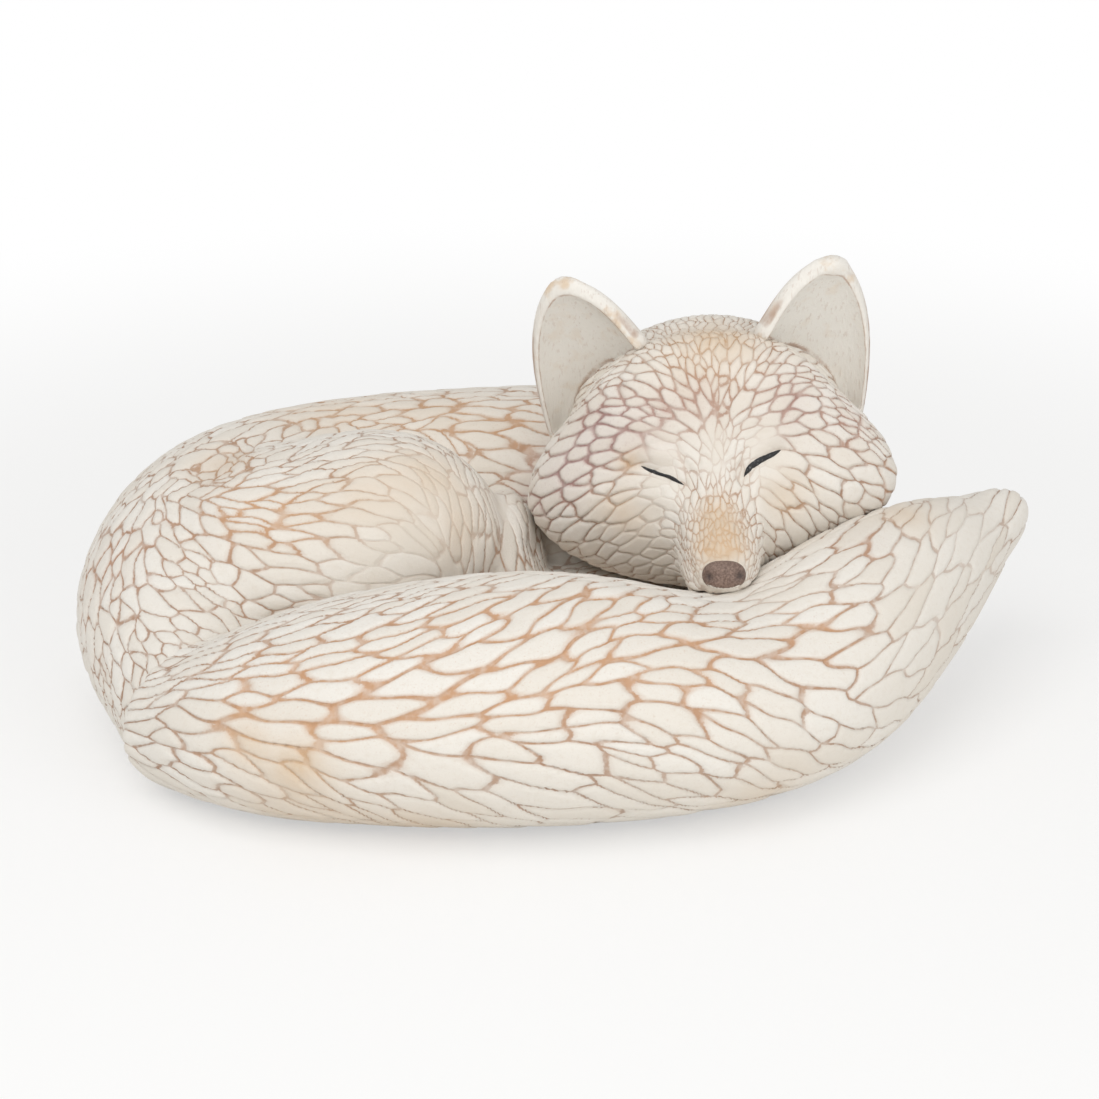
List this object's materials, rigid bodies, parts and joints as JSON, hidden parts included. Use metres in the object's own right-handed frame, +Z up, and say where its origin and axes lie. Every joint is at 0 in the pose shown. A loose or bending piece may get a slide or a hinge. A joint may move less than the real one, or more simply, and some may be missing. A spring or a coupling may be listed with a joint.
{
  "type": "sleeping fox figurine",
  "caption": "Carved-look ornament of a fox asleep, curled up with its tail round its front and its chin on the tail.",
  "frame": {"origin": "on the table, under the middle of the figure", "axes": "+X to the right of the face as it is looked at and along the figure's length, +Y to the back, +Z up"},
  "size_m": [0.2858, 0.208, 0.136],
  "materials": {
    "painted_resin": "matt cast surface, off-white with brown wash in the grooves",
    "bare_resin": "matt, unpainted",
    "black_rubber": "matt",
    "steel": "plain"
  },
  "bodies": {
    "root": {"body_shell": "painted_resin", "tail_casting": "painted_resin", "head_casting": "painted_resin", "ear_left": "painted_resin", "ear_right": "painted_resin", "base_plate": "bare_resin", "foot_pads": "black_rubber", "bond_pins": "steel"}
  },
  "joints": []
}
